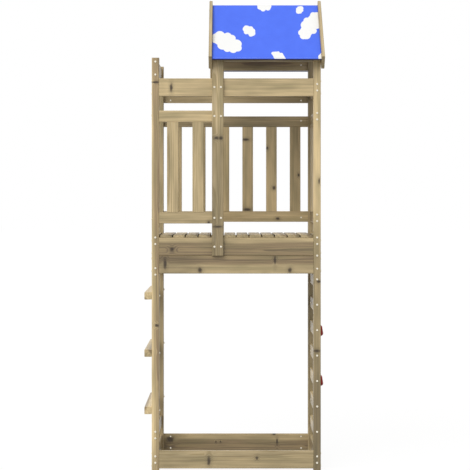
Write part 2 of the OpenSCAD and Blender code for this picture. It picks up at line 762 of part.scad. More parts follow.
placed() post(LEFT, FRONT);  // post_front_left
placed() post(RIGHT, FRONT);  // post_front_right
placed() post(LEFT, REAR);  // post_rear_left
placed() post(RIGHT, REAR);  // post_rear_right
placed() upright(FRONT);  // upright_front
placed() upright(REAR);  // upright_rear
placed() top_beam(FRONT);  // top_beam_front
placed() top_beam(REAR);  // top_beam_rear
placed() guard_top_rail_long(FRONT);  // guard_top_rail_front
placed() guard_low_rail_long(FRONT);  // guard_low_rail_front
placed() guard_slats_long(FRONT);  // guard_slats_front
placed() guard_top_rail_long(REAR);  // guard_top_rail_rear
placed() guard_low_rail_long(REAR);  // guard_low_rail_rear
placed() guard_slats_long(REAR);  // guard_slats_rear
placed() guard_rail_right(guard_top_z);  // guard_top_rail_right
placed() guard_rail_right(guard_low_z);  // guard_low_rail_right
placed() guard_slats_right();
placed() fascia_upper(FRONT);  // fascia_upper_front
placed() fascia_lower(FRONT);  // fascia_lower_front
placed() fascia_upper(REAR);  // fascia_upper_rear
placed() fascia_lower(REAR);  // fascia_lower_rear
placed() deck_boards();
placed() sandpit_long(FRONT);  // sandpit_board_front
placed() sandpit_long(REAR);  // sandpit_board_rear
placed() sandpit_cross(LEFT);  // sandpit_board_left
placed() sandpit_cross(RIGHT);  // sandpit_board_right
placed() hand_rail_left();
placed() end_rail(LEFT);  // end_rail_left
placed() brace_left();
placed() foot_board_left();
placed() top_rail_right();
placed() end_rail(RIGHT);  // end_rail_right
placed() kick_board_right();
placed() climbing_board(1);  // climbing_board_1
placed() climbing_board(2);  // climbing_board_2
placed() climbing_board(3);  // climbing_board_3
placed() climbing_board(4);  // climbing_board_4
placed() climbing_board(5);  // climbing_board_5
placed() climbing_board(6);  // climbing_board_6
placed() climbing_board(7);  // climbing_board_7
placed() climbing_hold(1);  // climbing_hold_1
placed() climbing_hold(2);  // climbing_hold_2
placed() climbing_hold(3);  // climbing_hold_3
placed() climbing_hold(4);  // climbing_hold_4
placed() climbing_hold(5);  // climbing_hold_5
placed() rung(1);  // rung_1
placed() rung(2);  // rung_2
placed() rung(3);  // rung_3
placed() rafter(LEFT, FRONT);  // rafter_front_left
placed() rafter(LEFT, REAR);  // rafter_rear_left
placed() rafter(RIGHT, FRONT);  // rafter_front_right
placed() rafter(RIGHT, REAR);  // rafter_rear_right
placed() roof_rail(FRONT);  // roof_rail_front
placed() roof_rail(REAR);  // roof_rail_rear
placed() ridge_batten();
placed() eave_battens();
placed() roof_cloth();
placed() bolts();
placed() nuts();
placed() roof_screws();
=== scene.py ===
# %% [markdown]
# # A pine play tower with a printed cloth roof
#
# The CAD model brings every post, board, bolt and climbing hold to its place, in metres. This lesson dresses
# it: the timber gets its grain, the roof solid gives way to a real sheet of cloth, and a plain studio lights
# the whole. Nothing of the CAD model is moved, because the frame is what the other tools measure.

# %% Load the tower
import json
import math

import bpy
import numpy as np
from mathutils import Euler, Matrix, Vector


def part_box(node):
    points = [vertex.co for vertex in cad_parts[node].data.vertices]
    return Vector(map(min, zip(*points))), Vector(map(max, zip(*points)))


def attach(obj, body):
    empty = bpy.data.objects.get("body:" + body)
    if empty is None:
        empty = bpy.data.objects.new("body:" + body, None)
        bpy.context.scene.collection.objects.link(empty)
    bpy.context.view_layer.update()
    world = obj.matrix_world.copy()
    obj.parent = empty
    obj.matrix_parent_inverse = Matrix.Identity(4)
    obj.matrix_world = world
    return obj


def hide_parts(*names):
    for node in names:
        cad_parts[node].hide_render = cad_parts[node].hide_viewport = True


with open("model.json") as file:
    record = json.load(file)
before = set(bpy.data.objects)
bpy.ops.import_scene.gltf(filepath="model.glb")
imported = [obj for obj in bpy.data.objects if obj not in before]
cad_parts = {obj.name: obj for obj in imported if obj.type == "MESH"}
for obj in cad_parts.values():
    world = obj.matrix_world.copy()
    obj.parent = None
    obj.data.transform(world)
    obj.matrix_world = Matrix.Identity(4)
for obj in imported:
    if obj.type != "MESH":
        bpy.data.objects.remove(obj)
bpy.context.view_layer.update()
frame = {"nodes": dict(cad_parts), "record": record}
nodes = frame["nodes"]

# %% [markdown]
# ## Two small helpers
#
# Colours are easiest to pick as sRGB hex values, but shaders work with linear light, so one function undoes
# the sRGB curve. Shader trees could be built by hand, a line for every link. One function that adds a node,
# sets it and links it keeps every material short.

# %% Colours and shader nodes
MM = 1000.0


def linear(hex_colour):
    """Linear red, green, blue and alpha of an sRGB hex colour: the sRGB curve undone in each channel."""
    srgb = np.array([int(hex_colour[i:i + 2], 16) for i in (1, 3, 5)]) / 255
    curved = ((srgb + 0.055) / 1.055) ** 2.4
    return (*np.where(srgb <= 0.04045, srgb / 12.92, curved).tolist(), 1.0)


def add(tree, kind, inputs=None, **settings):
    """Adds a shader node with its settings. A socket in inputs is linked, anything else is set as a value."""
    node = tree.nodes.new("ShaderNode" + kind)
    for name, value in settings.items():
        setattr(node, name, value)
    for key, value in (inputs or {}).items():
        if isinstance(value, bpy.types.NodeSocket):
            tree.links.new(value, node.inputs[key])
        else:
            node.inputs[key].default_value = value
    return node


def new_material(name):
    """An empty material and its tree."""
    material = bpy.data.materials.new(name)
    material.use_nodes = True
    material.node_tree.nodes.clear()
    return material, material.node_tree


print("mid grey in linear light:", linear("#808080"))

# %% [markdown]
# ## Short names for common nodes
#
# Most nodes of a material do arithmetic, carry a value from one range to another, mix two colours or make a
# noise. Each could be written out in full every time. Short functions keep the formulas below readable.


# %% Thin helpers
def number(tree, operation, *values):
    """Arithmetic on numbers."""
    return add(tree, "Math", dict(enumerate(values)), operation=operation).outputs[0]


def vector(tree, operation, *values):
    """Arithmetic on vectors, which gives a number for a length or a dot product."""
    node = add(tree, "VectorMath", dict(enumerate(values)), operation=operation)
    return node.outputs["Value" if operation in ("LENGTH", "DOT_PRODUCT") else "Vector"]


def ramp(tree, value, start, stop, low=0.0, high=1.0, smooth=False):
    """A value carried from one range to another and held at both ends, with soft corners if smooth."""
    inputs = {"Value": value, "From Min": start, "From Max": stop, "To Min": low, "To Max": high}
    kind = "SMOOTHSTEP" if smooth else "LINEAR"
    return add(tree, "MapRange", inputs, interpolation_type=kind).outputs[0]


def blend(tree, share, first, second):
    """The colour at a share of the way between two colours, each a hex value or a socket."""
    first, second = [linear(end) if isinstance(end, str) else end for end in (first, second)]
    return add(tree, "Mix", {0: share, 6: first, 7: second}, data_type="RGBA").outputs[2]


def noise(tree, place, scale, detail, rough=0.5):
    """Fractal noise of a place times a scale."""
    inputs = {"Vector": place, "Scale": scale, "Detail": detail, "Roughness": rough}
    return add(tree, "TexNoise", inputs).outputs["Fac"]


def object_place(tree):
    """The place on the object, in metres."""
    return add(tree, "TexCoord").outputs["Object"]


print("thin helpers: number, vector, ramp, blend, noise and object_place")

# %% [markdown]
# ## Where a point lies in its board
#
# A board is a slice of a log, so its grain has to follow its length, whichever way the board runs. The place
# of a point is turned until the grain lies along x, then moved to the middle of its board. Deck boards and
# slats are several boards in one node: snapping the place to the spacing of the boards tells them apart, and
# a random shift for each cell stops neighbours from repeating one pattern.

# %% Place in the board
WHOLE = 10000.0  # mm, wider than the tower: a single board fills one cell
LOG_SHIFT = 1500.0  # mm along the log between two boards


def board_place(tree, turn, centre, spacing, spread, seed):
    """Place in mm with the grain along x: turned place less middle and whole spacings, plus a draw.

    Gives the place with the draw, the run along the board from its middle, and a random number by board.
    """
    rotation = Euler(turn)
    half = Vector(spacing) / 2
    middle = rotation.to_matrix() @ (Vector(centre) * MM)
    turned = add(tree, "Mapping", {"Vector": object_place(tree), "Location": half - middle,
                                   "Rotation": rotation, "Scale": (MM, MM, MM)}).outputs[0]
    cell = vector(tree, "SNAP", turned, spacing)
    inside = vector(tree, "SUBTRACT", turned, cell)
    centred = vector(tree, "SUBTRACT", inside, half)
    draw = add(tree, "TexWhiteNoise", {"Vector": cell, "W": seed}, noise_dimensions="4D")
    log = vector(tree, "MULTIPLY_ADD", draw.outputs["Color"], (LOG_SHIFT, spread, spread), centred)
    run = add(tree, "SeparateXYZ", {0: centred}).outputs[0]
    return log, run, draw.outputs["Value"]


print("neighbours in a group lie up to", LOG_SHIFT, "mm apart in the log")

# %% [markdown]
# ## Knots
#
# A knot is the foot of a branch: a dark core, with the rings of the trunk swollen round it. Small knots come
# from a Voronoi pattern through the whole log, which costs one node for any number of them. The larger ones
# that show from the front are placed one by one, with a ragged rim.

# %% Knots
KNOT_CELL = 210.0  # mm between small knots
KNOT_CORE = (12.0, 3.0)  # mm, outer and inner edge of a small knot
SWELL = (48.0, 6.0)  # mm, reach of the swollen rings round a small knot
PLACED_CORE = (1.6, 0.4)  # outer and inner edge of a placed knot, in its own radii
PLACED_SWELL = (3.6, 0.8)  # reach of the swollen rings round a placed knot, in its own radii
RAGGED = 0.9  # how far a placed knot's rim wanders, in its own radii
RAGGED_CELL = 14.0  # mm, size of those bays


def small_knots(tree, log):
    """Distance to the nearest point of a random grid, as a mask of the knot and one of the swollen grain."""
    scaled = vector(tree, "MULTIPLY", log, (1 / KNOT_CELL,) * 3)
    near = add(tree, "TexVoronoi", {"Vector": scaled, "Scale": 1.0}).outputs["Distance"]
    return [ramp(tree, near, outer / KNOT_CELL, inner / KNOT_CELL, smooth=True)
            for outer, inner in (KNOT_CORE, SWELL)]


def placed_knots(tree, knots, mask, swell):
    """Adds each placed knot, an ellipsoid, to both masks: distance over radius, faded at its rim.

    A noise is added to the distance, so that the rim is ragged.
    """
    if not knots:
        return mask, swell
    place = object_place(tree)
    bays = noise(tree, place, MM / RAGGED_CELL, detail=2.0)
    rim = ramp(tree, bays, 0, 1, -RAGGED / 2, RAGGED / 2)
    for middle, radii in knots:
        away = vector(tree, "SUBTRACT", place, Vector(middle) / MM)
        shares = vector(tree, "MULTIPLY", away, [MM / radius for radius in radii])
        edge = number(tree, "ADD", vector(tree, "LENGTH", shares), rim)
        mask = number(tree, "MAXIMUM", mask, ramp(tree, edge, *PLACED_CORE, smooth=True))
        swell = number(tree, "MAXIMUM", swell, ramp(tree, edge, *PLACED_SWELL, smooth=True))
    return mask, swell


print("small knots about", KNOT_CELL, "mm apart")

# %% [markdown]
# ## Growth rings
#
# Growth rings are cylinders round the pith, so the distance from the pith line, divided by the ring width,
# gives them on every face at once: broad flames on a flat face, close lines on an edge and arcs on the end
# grain. A picture of wood would have to be laid on each face and wouldn't meet at the edges. A stretched
# noise makes the log less than straight, and the rings swell round each knot.

# %% Rings
RING = 5.0  # mm: true rings are about 3 mm, drawn wider so that they show
WOBBLE = 16.0  # mm that the log wanders
WANDER = (620.0, 90.0, 90.0)  # mm, length and width of its bends
SWELL_DEPTH = 7.0  # mm that the rings rise at a knot
LATE_RISE = (0.25, 0.9)  # part of a ring over which late wood comes in
LATE_END = (1.0, 0.92)  # part of a ring over which it stops


def pith_distance(tree, log, run, pith, lean, swell):
    """Length of the place across the grain less the pith, which leans off the board by a share of the run.

    A stretched noise and the swelling at knots are added.
    """
    across = vector(tree, "MULTIPLY_ADD", log, (0, 1, 1), (0, -pith[0], -pith[1]))
    drift = add(tree, "VectorMath", {0: (0, *lean), "Scale": run}, operation="SCALE").outputs[0]
    distance = vector(tree, "LENGTH", vector(tree, "SUBTRACT", across, drift))
    bends = noise(tree, vector(tree, "DIVIDE", log, WANDER), 1.0, detail=3.0)
    bend = ramp(tree, bends, 0, 1, -WOBBLE / 2, WOBBLE / 2)
    wandering = number(tree, "ADD", distance, bend)
    return number(tree, "MULTIPLY_ADD", swell, SWELL_DEPTH, wandering)


def late_wood(tree, distance):
    """Share of dark late wood: the fraction of a ring, bent so that it grows slowly and ends sharply."""
    share = number(tree, "FRACT", number(tree, "DIVIDE", distance, RING))
    rise = ramp(tree, share, *LATE_RISE, smooth=True)
    fall = ramp(tree, share, *LATE_END, smooth=True)
    return number(tree, "MULTIPLY", rise, fall)


print("rings every", RING, "mm")

# %% [markdown]
# ## Pressure-impregnated pine
#
# Planed pine takes up the salts in its sapwood, which turns a greenish tan, while the heart stays browner and
# darker. The salts soak in unevenly, in long patches. End grain drinks more of the bath and is darker again,
# and resin darkens the wood round a knot. The edges of the deck boards are darkened as well: that is painted
# shade, so that the gaps between them look dark. All this could be painted by hand for each board; formulas
# do it for every board and every face alike.

# %% Colour of pine
SAP = ("#bda982", "#a8946b")  # early and late wood
HEART = ("#917e5d", "#76644d")  # early and late wood
HEART_EDGE = (9.0, -5.0)  # mm from the heart's radius to where it begins and to where it is full
KNOT = "#33271b"
KNOT_SHARE = 0.92
HALO = 0.2  # how much darker the wood is round a knot
SALT_GREEN = "#948b62"
SALT_SHARE = 0.4
SALT_NOISE = (0.45, 0.8)  # part of the patches' noise over which the green comes in
PATCH = (260.0, 40.0, 40.0)  # mm, length and width of the patches that took up more salts
PATCH_NOISE = (0.3, 0.7)
PATCH_RANGE = (1.14, 0.86)
STREAK = (560.0, 12.0, 12.0)  # mm, length and width of the streaks along the grain
STREAK_NOISE = (0.25, 0.75)
STREAK_RANGE = (0.70, 1.30)


def pine_colour(tree, log, shades, distance, late, mask, swell, heart_r, tone, darker):
    """Sap and heart colours by ring, the heart inside its radius, times streaks, patches, halo and shades.

    Darker end grain and the painted shade on deck edges are taken off, and the knots come last. Gives the
    colour and the streaks.
    """
    inner = ramp(tree, distance, *(heart_r + edge for edge in HEART_EDGE), smooth=True)
    wood = blend(tree, inner, blend(tree, late, *SAP), blend(tree, late, *HEART))
    patches = noise(tree, vector(tree, "DIVIDE", log, PATCH), 1.0, detail=2.0)
    salted = blend(tree, ramp(tree, patches, *SALT_NOISE, 0.0, SALT_SHARE), wood, SALT_GREEN)
    streaks = noise(tree, vector(tree, "DIVIDE", log, STREAK), 1.0, detail=5.0, rough=0.6)
    value = ramp(tree, streaks, *STREAK_NOISE, *(end * tone for end in STREAK_RANGE))
    soaked = ramp(tree, patches, *PATCH_NOISE, *PATCH_RANGE)
    halo = ramp(tree, swell, 0, 1, 1.0, 1 - HALO)
    for shade in (soaked, halo, *shades):
        value = number(tree, "MULTIPLY", value, shade)
    value = number(tree, "SUBTRACT", value, darker)
    toned = add(tree, "HueSaturation", {"Value": value, "Color": salted}).outputs[0]
    return blend(tree, number(tree, "MULTIPLY", mask, KNOT_SHARE), toned, KNOT), streaks


print("sapwood", SAP, "heartwood", HEART)

# %% [markdown]
# ## One material for each piece of timber
#
# Late wood is denser than early wood, so it takes a little more gloss from the planer, and it stands a little
# higher once the soft wood has dried. So the rings drive the roughness, and rings and streaks drive a faint
# bump. True geometry for grain a fraction of a millimetre deep would be wasted.

# %% Pine material
BOARD_RANGE = (0.86, 1.14)  # how far the boards of one group differ in tone
END_DARKER = 0.13
# Painted shade: the edges of the deck boards are darkened so that the gaps between them look dark
PAINTED_GAP_SHADE_FACING = {"deck_boards": (1, 0, 0)}  # which way sawn edges face
PAINTED_GAP_SHADE_DARKER = 0.7
FACING = (0.85, 0.97)  # dot products between which a face counts as looking along a direction
PINE_ROUGH = (0.44, 0.34)  # early and late wood
LATE_HEIGHT = 0.6  # height of late wood against that of the streaks
GRAIN_DEPTH = 0.0008  # m, at full strength
GRAIN_BUMP = 0.25  # the strength


def facing(tree, direction):
    """Mask of the faces that look along a direction or against it: the size of the dot product, cut off."""
    normal = add(tree, "NewGeometry").outputs["Normal"]
    size = number(tree, "ABSOLUTE", vector(tree, "DOT_PRODUCT", normal, direction))
    return ramp(tree, size, *FACING)


def planed_pine(name, turn, centre, spacing, spread, seed, cut, knots, tone_and_light_fades):
    """One piece of timber as a material: see the functions above for each formula."""
    pith, lean, heart_r, tone = cut
    material, tree = new_material("impregnated_pine." + name)
    log, run, draw = board_place(tree, turn, centre, spacing, spread, seed)
    mask, swell = placed_knots(tree, knots, *small_knots(tree, log))
    distance = pith_distance(tree, log, run, pith, lean, swell)
    late = late_wood(tree, distance)
    grain = Euler(turn).to_matrix().inverted() @ Vector((1, 0, 0))
    darker = number(tree, "MULTIPLY", facing(tree, grain), END_DARKER)
    # Painted shade on the edges of the deck boards, so that the gaps between them look dark
    if name in PAINTED_GAP_SHADE_FACING:
        darker = number(tree, "MULTIPLY_ADD", facing(tree, PAINTED_GAP_SHADE_FACING[name]), PAINTED_GAP_SHADE_DARKER, darker)
    shades = [ramp(tree, draw, 0, 1, *BOARD_RANGE)]
    # Tone along the run; for some boards it is painted light that offsets the roof's shade
    shades += [ramp(tree, run, *fade, smooth=True) for fade in tone_and_light_fades]
    colour, streaks = pine_colour(tree, log, shades, distance, late, mask, swell, heart_r, tone, darker)
    rough = ramp(tree, late, 0, 1, *PINE_ROUGH)
    height = number(tree, "MULTIPLY_ADD", late, LATE_HEIGHT, streaks)
    bump = add(tree, "Bump", {"Strength": GRAIN_BUMP, "Distance": GRAIN_DEPTH, "Height": height}).outputs[0]
    shader = add(tree, "BsdfPrincipled", {"Base Color": colour, "Roughness": rough, "IOR": 1.5,
                                          "Normal": bump})
    add(tree, "OutputMaterial", {"Surface": shader.outputs[0]})
    return material


print("grain up to", GRAIN_BUMP * GRAIN_DEPTH * MM, "mm deep")

# %% [markdown]
# ## Every board gets its own cut of the log
#
# Where the pith lies beside a board decides its figure. Boards that show their own character, such as the
# fascia with its dark heart between two pale edges, are listed here. Drawing all of them at random would
# be quicker, but then no board would look like the one in the picture.

# %% Cuts of the log
DECK_STEP = 78.4  # mm from one deck board to the next
SLAT_STEP = 156.4  # mm from one slat to the next
# Spacing in mm along the turned axes, for nodes that hold several boards
SPACING = {"deck_boards": (WHOLE, DECK_STEP, WHOLE), "guard_slats_front": (WHOLE, WHOLE, SLAT_STEP),
           "guard_slats_rear": (WHOLE, WHOLE, SLAT_STEP), "guard_slats_right": (WHOLE, SLAT_STEP, WHOLE)}
# Draws for groups whose boards are known: the last three rear slats are pale, pale and dark from the left
# Painted shade: the last rear slat's dark draw stands in for the shade it lies in near the right post
SEEDS = {"guard_slats_rear": 23.7}
# Pith across the grain in mm, its lean in mm per mm, radius of the heart in mm, and tone
CUTS = {
    "fascia_upper_front": ((30, -20), (0, 0), 60, 0.92),
    "fascia_lower_front": ((30, 45), (0, 0), 58, 0.79),
    "sandpit_board_front": ((60, 40), (0, 0.02), 40, 0.80),
    "sandpit_board_rear": ((30, -22), (0, 0), 55, 0.93),
    "top_beam_front": ((50, 90), (0.02, 0), 30, 1.26),
    "top_beam_rear": ((50, -90), (0, 0), 35, 0.95),
    "roof_rail_rear": ((35, 10), (0, 0), 48, 0.85),
    "guard_top_rail_front": ((50, -60), (0, 0), 30, 1.16),
    "guard_low_rail_front": ((45, 60), (0, 0), 42, 0.81),
    "guard_top_rail_rear": ((40, 30), (0, 0), 40, 0.63),
    "guard_low_rail_rear": ((50, -60), (0, 0), 35, 0.98),
    "guard_slats_front": ((45, 60), (0, 0), 25, 0.86),
    "guard_slats_rear": ((45, -60), (0, 0), 25, 0.97),
    "upright_front": ((60, 25), (0.02, 0), 30, 0.88),
    "post_front_left": ((10, -20), (-0.01, 0), 42, 1.42),
    "post_front_right": ((5, 45), (0, 0), 8, 1.30),
    "post_rear_left": ((20, 25), (0, 0), 40, 0.85),
    # Painted shade: the rear right post's low tone stands in for the shade that lies on it
    "post_rear_right": ((20, -25), (0, 0), 40, 0.64),
    "rafter_front_left": ((40, 30), (0, 0), 30, 1.05),
    "rafter_front_right": ((40, 30), (0, 0), 30, 0.82),
    "rung_1": ((40, 20), (0, 0), 30, 1.22),
    "rung_2": ((-35, 25), (0, 0), 30, 1.22),
    "rung_3": ((30, -40), (0, 0), 30, 1.22),
}
print(len(CUTS), "boards cut by hand")

# %% [markdown]
# ## Tone and painted light along a board
#
# The foot of a post is darker, and a board may have paler wood towards one end. Some of these changes are
# painted light: the upper end of the upright and the right end of the rear guard's top rail are made paler
# where the roof's shade falls on them. A second layer of colour could be painted there. A factor that
# changes along the run of the board is enough.

# %% Fades
# Run from the board's middle in mm where the tone starts and stops to change, and the tone before and after
TONE_AND_LIGHT_FADES = {
    "post_front_right": [(-1000, -350, 0.55, 1.0), (10, 380, 0.60, 1.0)],
    "post_front_left": [(-1250, -1050, 0.76, 1.06)],
    # Painted light: the upright's upper end is made paler where the roof's shade falls on it
    "upright_front": [(-480, -260, 0.84, 1.0), (60, 260, 0.70, 1.0)],
    "fascia_lower_front": [(-320, -150, 0.79, 1.03)],
    "sandpit_board_rear": [(-450, -50, 1.36, 1.0)],
    # Painted light: the rail's right end is made paler where the roof's shade falls on it
    "guard_top_rail_rear": [(120, 520, 0.86, 1.40)],
    "roof_rail_rear": [(-70, 130, 0.90, 1.22)],
}
print(len(TONE_AND_LIGHT_FADES), "boards change in tone along their run")

# %% [markdown]
# ## Larger knots
#
# A few knots are large enough to tell one board from another. A random pattern would put them anywhere, so
# each of these is placed one by one, with its middle on the tower and its radii along x, y and z.

# %% Larger knots
THROUGH = 60  # mm, a knot's radius along its branch: it goes right through the board
# Middle and radii in mm
KNOTS = {
    "fascia_upper_front": [((-385, -290, 1362), (14, THROUGH, 11))],
    "fascia_lower_front": [((-428, -290, 1273), (9, THROUGH, 29)), ((-213, -290, 1233), (12, THROUGH, 16)),
                           ((248, -290, 1294), (7, THROUGH, 25)), ((340, -290, 1233), (11, THROUGH, 15))],
    "top_beam_front": [((-390, -290, 2356), (8, THROUGH, 24))],
    "sandpit_board_front": [((-158, -290, 59), (10, THROUGH, 24)), ((137, -290, 79), (8, THROUGH, 9))],
    "sandpit_board_rear": [((282, 290, 73), (6, THROUGH, 20)), ((262, 290, 121), (10, THROUGH, 6)),
                           ((-424, 290, 87), (26, THROUGH, 20)), ((-121, 290, 71), (5, THROUGH, 6)),
                           ((-91, 290, 71), (5, THROUGH, 6))],
    "upright_front": [((-112, -310, 2045), (14, THROUGH, 9)), ((-85, -310, 2045), (13, THROUGH, 10)),
                      ((-104, -310, 1501), (25, THROUGH, 6))],
    "guard_low_rail_front": [((-160, -290, 1525), (8, THROUGH, 9))],
    "guard_low_rail_rear": [((286, 290, 1541), (12, THROUGH, 9))],
    "guard_slats_rear": [((85, 290, 1601), (27, THROUGH, 9)), ((75, 290, 2062), (22, THROUGH, 8)),
                         ((216, 290, 2006), (8, THROUGH, 9)), ((262, 290, 1744), (11, THROUGH, 11)),
                         ((424, 290, 1828), (7, THROUGH, 10))],
    "post_front_left": [((-478, -300, 893), (13, THROUGH, 9)), ((-487, -300, 2389), (22, THROUGH, 6))],
    "post_front_right": [((520, -300, 1781), (5, THROUGH, 16)), ((518, -300, 1163), (12, THROUGH, 7)),
                         ((506, -300, 737), (19, THROUGH, 8))],
}
print(sum(map(len, KNOTS.values())), "placed knots")

# %% [markdown]
# ## Which way the grain runs
#
# Grain runs along a board, so the longest side of a board's box tells its direction. Two groups of boards and
# the sloping rafters can't be read that way and go by name. The turn could be written down for every piece,
# but a rule leaves fewer chances for a slip.

# %% Direction of the grain
QUARTER = math.radians(90)
SLOPE = math.radians(45)
TURNS = {"x": (0, 0, 0), "y": (0, 0, -QUARTER), "z": (0, QUARTER, 0)}
GROUP_GRAIN = {"deck_boards": "y", "guard_slats_rear": "z"}


def grain_turn(node, size):
    """Turn that lays a node's grain along x: by the roof's slope, by name, or by its box's longest side."""
    if node.startswith("rafter_"):
        return (-SLOPE if "front" in node else SLOPE, 0, -QUARTER)
    longest = "xyz"[max(range(3), key=lambda i: size[i])]
    return TURNS[GROUP_GRAIN.get(node, longest)]


print("grain by name:", sorted(GROUP_GRAIN), "and the rafters")

# %% [markdown]
# ## Cuts drawn at random
#
# Boards whose cut isn't listed get one drawn at random, with a fixed seed so that every run gives the
# same tower. One cut for all of them would be simpler, but real boards come from different logs and don't
# look alike.

# %% Drawn cuts
# Ranges in the units of the cuts above
PITH_BESIDE = (20, 65)
PITH_BEHIND = (-35, 35)
LEAN = (-0.02, 0.02)
HEART_R = (15, 48)
TONE = (0.94, 1.06)
RANDOM_SEED = 11
draws = np.random.default_rng(RANDOM_SEED)


def drawn_cut():
    """A cut of the log with each of its values drawn from its range."""
    pith = (draws.uniform(*PITH_BESIDE) * draws.choice([-1, 1]), draws.uniform(*PITH_BEHIND))
    return pith, draws.uniform(*LEAN, 2), draws.uniform(*HEART_R), draws.uniform(*TONE)


print("drawn hearts have a radius of", HEART_R[0], "to", HEART_R[1], "mm")

# %% [markdown]
# ## Timber
#
# Each piece of timber gets a material of its own, because its cut, knots and fades belong to no other. One
# material that reads them all from stored attributes would be shorter to list but harder to follow. Boards
# in a group share a material and differ by their draws.

# %% Timber
BOARD_W = 0.070  # m, the boards of a group
SEED_STEP = 1.7  # from the seed of one node to that of the next


def nodes_of(slot):
    """The CAD nodes that the record gives a material slot."""
    return [row["node"] for row in frame["record"]["subparts"] if row["material_slot"] == slot]


def dress(node, material):
    """Gives a CAD node one material."""
    nodes[node].data.materials.clear()
    nodes[node].data.materials.append(material)


timber = nodes_of("impregnated_pine")
for place_in_list, node in enumerate(timber):
    low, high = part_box(node)
    grouped = node in SPACING
    centre = low + Vector((BOARD_W / 2,) * 3) if grouped else (low + high) / 2
    spread = BOARD_W / 2 * MM if grouped else 0.0
    seed = SEEDS.get(node, place_in_list * SEED_STEP)
    drawn = drawn_cut()
    spacing = SPACING.get(node, (WHOLE,) * 3)
    dress(node, planed_pine(node, grain_turn(node, high - low), centre, spacing, spread, seed,
                            CUTS.get(node, drawn), KNOTS.get(node, []), TONE_AND_LIGHT_FADES.get(node, [])))
print(len(timber), "pieces of timber have their own cut")

# %% [markdown]
# ## Zinc-plated fasteners
#
# Bolts, nuts and screws are steel with a bright zinc plate: a metal whose colour is nearly white with a warm
# cast, and whose roughness varies with the crystals of the plate. Each bolt could have a look of its own, but
# they are small and alike, so all share one material.

# %% Zinc
ZINC = ("#f4efe2", "#e2dccb")
ZINC_ROUGH = (0.32, 0.5)
ZINC_SPOT = 4.0  # mm between patches of the plate


def zinc_plate():
    """Metal with a colour and a roughness that follow a noise."""
    material, tree = new_material("zinc_plated_steel")
    spots = noise(tree, object_place(tree), MM / ZINC_SPOT, detail=2.0)
    shader = add(tree, "BsdfPrincipled", {"Base Color": blend(tree, spots, *ZINC), "Metallic": 1.0,
                                          "Roughness": ramp(tree, spots, 0, 1, *ZINC_ROUGH)})
    add(tree, "OutputMaterial", {"Surface": shader.outputs[0]})
    return material


zinc = zinc_plate()
fasteners = nodes_of("zinc_steel")
for node in fasteners:
    dress(node, zinc)
print(len(fasteners), "nodes of fasteners are zinc-plated")

# %% [markdown]
# ## Moulded holds
#
# The climbing holds are cast in a pigmented plastic against a grained mould, which leaves a dull skin. The
# grain could be cut into the mesh, but it is finer than the mesh's faces, so a bump stands for it. The
# pigment is never quite even, so a second noise mixes two reds.

# %% Plastic
RED = ("#a0221b", "#801a14")
RED_SWIRL = 25.0  # mm between swirls of the pigment
MOULD_GRAIN = 1.6  # mm, the grain of the mould
MOULD_DEPTH = 0.0005  # m, at full strength
MOULD_BUMP = 0.3  # the strength


def moulded_plastic():
    """Pigmented plastic with a grained skin: two reds mixed by a noise, and a fine bump."""
    material, tree = new_material("moulded_red_plastic")
    place = object_place(tree)
    grain = noise(tree, place, MM / MOULD_GRAIN, detail=3.0)
    colour = blend(tree, noise(tree, place, MM / RED_SWIRL, detail=2.0), *RED)
    bump = add(tree, "Bump", {"Strength": MOULD_BUMP, "Distance": MOULD_DEPTH, "Height": grain}).outputs[0]
    shader = add(tree, "BsdfPrincipled", {"Base Color": colour, "Roughness": 0.5, "IOR": 1.49, "Normal": bump,
                                          "Specular IOR Level": 0.3})
    add(tree, "OutputMaterial", {"Surface": shader.outputs[0]})
    return material


plastic = moulded_plastic()
holds = nodes_of("hold_plastic")
for node in holds:
    dress(node, plastic)
print("moulded plastic on", holds)

# %% [markdown]
# ## The roof cloth from the side
#
# The roof is one strip of coated cloth. It starts in a hem under the front batten, turns round the batten's
# edge, goes up the slope and over the ridge, and ends in the hem behind. Its path is a line in the side view.
# The corners of that line could be left sharp, but cloth bends in an arc, so each gets a small one.

# %% Path of the cloth
# Sizes in metres
CLOTH = 0.0012  # thickness
FOLD_R = 0.0024  # of the middle of the cloth
FOLD_STEPS = 7
SLOPE_STEPS = 96
HEM = 0.028
HEM_STEPS = 8
WEDGE = math.atan2(15, 45)  # slope of the batten's planed face, which rises 15 mm in 45
RIDGE_FLAT = 0.006  # from the ridge line to the first point of the slope
cloth_low, cloth_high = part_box("roof_cloth")
slope_l = cloth_high.y / math.cos(SLOPE)
hem_drop = (cloth_high.z - slope_l * math.sin(SLOPE) - cloth_low.z) / math.cos(SLOPE)


def fold(corner, arrive, leave):
    """An arc that rounds a corner, from where its circle touches one side to where it touches the other."""
    turn = math.acos(arrive @ leave)
    inward = np.array([-arrive[1], arrive[0]])
    middle = corner - FOLD_R * math.tan(turn / 2) * arrive + FOLD_R * inward
    angle = np.linspace(0, turn, FOLD_STEPS)[:, None]
    return middle + FOLD_R * (np.sin(angle) * arrive - np.cos(angle) * inward)


def half_path():
    """Points from ridge to hem as (along the slope, down from it): the slope, two folds and the hem."""
    edge = slope_l - CLOTH / 2
    foot = hem_drop + CLOTH / 2 * (math.tan(WEDGE) - 1 / math.cos(WEDGE))
    ahead, drop, back = np.array([[1, 0], [0, 1], [-math.cos(WEDGE), math.sin(WEDGE)]])
    upper = np.array([edge, CLOTH / 2])
    lower = np.array([edge, foot])
    slope = np.linspace([RIDGE_FLAT, CLOTH / 2], upper - FOLD_R * ahead, SLOPE_STEPS)
    hem = np.linspace(lower + FOLD_R * back, lower + HEM / math.cos(WEDGE) * back, HEM_STEPS)
    return np.concatenate([slope[:-1], fold(upper, ahead, drop), fold(lower, drop, back), hem[1:]])


along, down = half_path().T
print("slope", round(slope_l, 4), "m, hem drop", round(hem_drop, 4), "m,", len(along), "points on each side")

